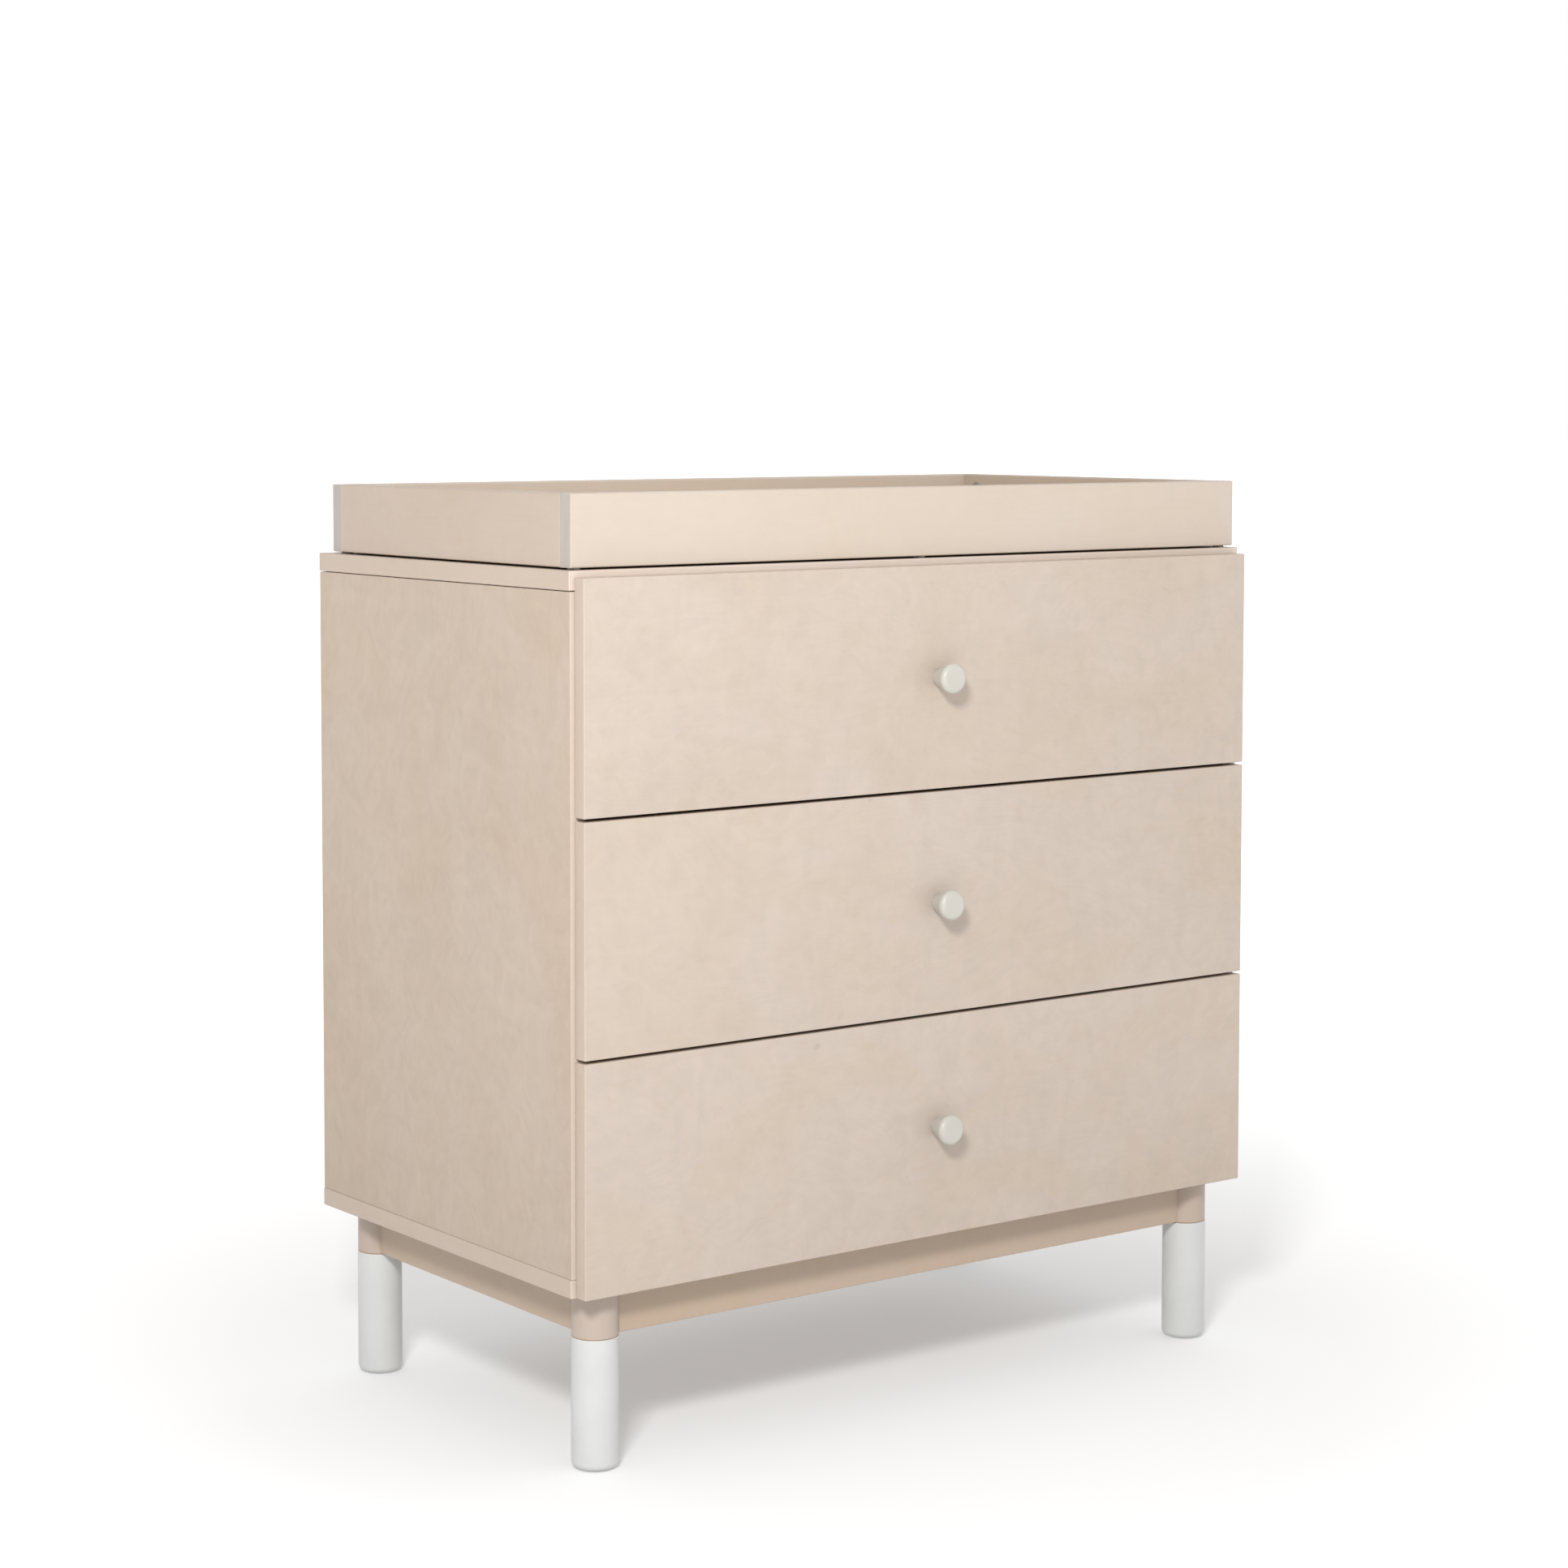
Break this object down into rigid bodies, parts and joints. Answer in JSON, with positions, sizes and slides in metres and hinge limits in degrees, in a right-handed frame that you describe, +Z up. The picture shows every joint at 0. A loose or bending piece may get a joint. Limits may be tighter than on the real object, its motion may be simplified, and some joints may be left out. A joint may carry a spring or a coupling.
{
  "type": "changing table",
  "caption": "Pale wood dresser with full-width drawers on round painted legs and a lift-off changing tray on top.",
  "frame": {"origin": "on the floor, at the centre of the footprint box over the knobs and the back panel", "axes": "+X to the right seen from the front, +Y to the back, +Z up; the knobs point along -Y"},
  "size_m": [0.873, 0.5134, 0.9395],
  "materials": {
    "maple_veneer": "pale washed maple veneer, satin",
    "birch_plywood": "clear birch plywood, satin",
    "back_board": "printed thin board, satin",
    "white_paint": "off-white satin paint on turned wood",
    "zinc_steel": "bright zinc-plated steel",
    "cam_zinc": "plain die-cast zinc",
    "felt": "pressed felt",
    "glide_plastic": "matt nylon"
  },
  "bodies": {
    "cabinet": {"top_panel": "maple_veneer", "bottom_panel": "maple_veneer", "left_side_panel": "maple_veneer", "right_side_panel": "maple_veneer", "rear_rail": "maple_veneer", "front_apron": "maple_veneer", "rear_apron": "maple_veneer", "left_apron": "maple_veneer", "right_apron": "maple_veneer", "front_left_leg_post": "maple_veneer", "front_right_leg_post": "maple_veneer", "rear_left_leg_post": "maple_veneer", "rear_right_leg_post": "maple_veneer", "back_panel": "back_board", "front_left_foot": "white_paint", "front_right_foot": "white_paint", "rear_left_foot": "white_paint", "rear_right_foot": "white_paint", "foot_studs": "zinc_steel", "foot_glides": "glide_plastic", "apron_brackets": "zinc_steel", "cabinet_cam_locks": "cam_zinc", "cabinet_cam_bolts": "zinc_steel", "back_panel_screws": "zinc_steel", "cabinet_slide_members": "zinc_steel"},
    "tray": {"tray_front_board": "maple_veneer", "tray_back_board": "maple_veneer", "tray_left_board": "maple_veneer", "tray_right_board": "maple_veneer", "tray_base_panel": "birch_plywood", "tray_pads": "felt", "tray_cam_locks": "cam_zinc", "tray_cam_bolts": "zinc_steel"},
    "upper_drawer": {"upper_drawer_front": "maple_veneer", "upper_drawer_left_side": "birch_plywood", "upper_drawer_right_side": "birch_plywood", "upper_drawer_back": "birch_plywood", "upper_drawer_bottom": "birch_plywood", "upper_knob": "white_paint", "upper_knob_screw": "zinc_steel", "upper_slide_members": "zinc_steel"},
    "upper_runners": {"upper_runners": "zinc_steel"},
    "middle_drawer": {"middle_drawer_front": "maple_veneer", "middle_drawer_left_side": "birch_plywood", "middle_drawer_right_side": "birch_plywood", "middle_drawer_back": "birch_plywood", "middle_drawer_bottom": "birch_plywood", "middle_knob": "white_paint", "middle_knob_screw": "zinc_steel", "middle_slide_members": "zinc_steel"},
    "middle_runners": {"middle_runners": "zinc_steel"},
    "lower_drawer": {"lower_drawer_front": "maple_veneer", "lower_drawer_left_side": "birch_plywood", "lower_drawer_right_side": "birch_plywood", "lower_drawer_back": "birch_plywood", "lower_drawer_bottom": "birch_plywood", "lower_knob": "white_paint", "lower_knob_screw": "zinc_steel", "lower_slide_members": "zinc_steel"},
    "lower_runners": {"lower_runners": "zinc_steel"}
  },
  "joints": [
    {"name": "upper_drawer_slide", "type": "slide", "parent": "cabinet", "child": "upper_drawer", "axis": [0, -1, 0], "range_m": [0, 0.33]},
    {"name": "upper_runners_slide", "type": "slide", "parent": "cabinet", "child": "upper_runners", "axis": [0, -1, 0], "range_m": [0, 0.165]},
    {"name": "middle_drawer_slide", "type": "slide", "parent": "cabinet", "child": "middle_drawer", "axis": [0, -1, 0], "range_m": [0, 0.33]},
    {"name": "middle_runners_slide", "type": "slide", "parent": "cabinet", "child": "middle_runners", "axis": [0, -1, 0], "range_m": [0, 0.165]},
    {"name": "lower_drawer_slide", "type": "slide", "parent": "cabinet", "child": "lower_drawer", "axis": [0, -1, 0], "range_m": [0, 0.33]},
    {"name": "lower_runners_slide", "type": "slide", "parent": "cabinet", "child": "lower_runners", "axis": [0, -1, 0], "range_m": [0, 0.165]},
    {"name": "tray_lift", "type": "slide", "parent": "cabinet", "child": "tray", "axis": [0, 0, 1], "range_m": [0, 0.15]}
  ],
  "couplings": [
    {"joint": "upper_runners_slide", "follows": "upper_drawer_slide", "ratio": 0.5},
    {"joint": "middle_runners_slide", "follows": "middle_drawer_slide", "ratio": 0.5},
    {"joint": "lower_runners_slide", "follows": "lower_drawer_slide", "ratio": 0.5}
  ]
}
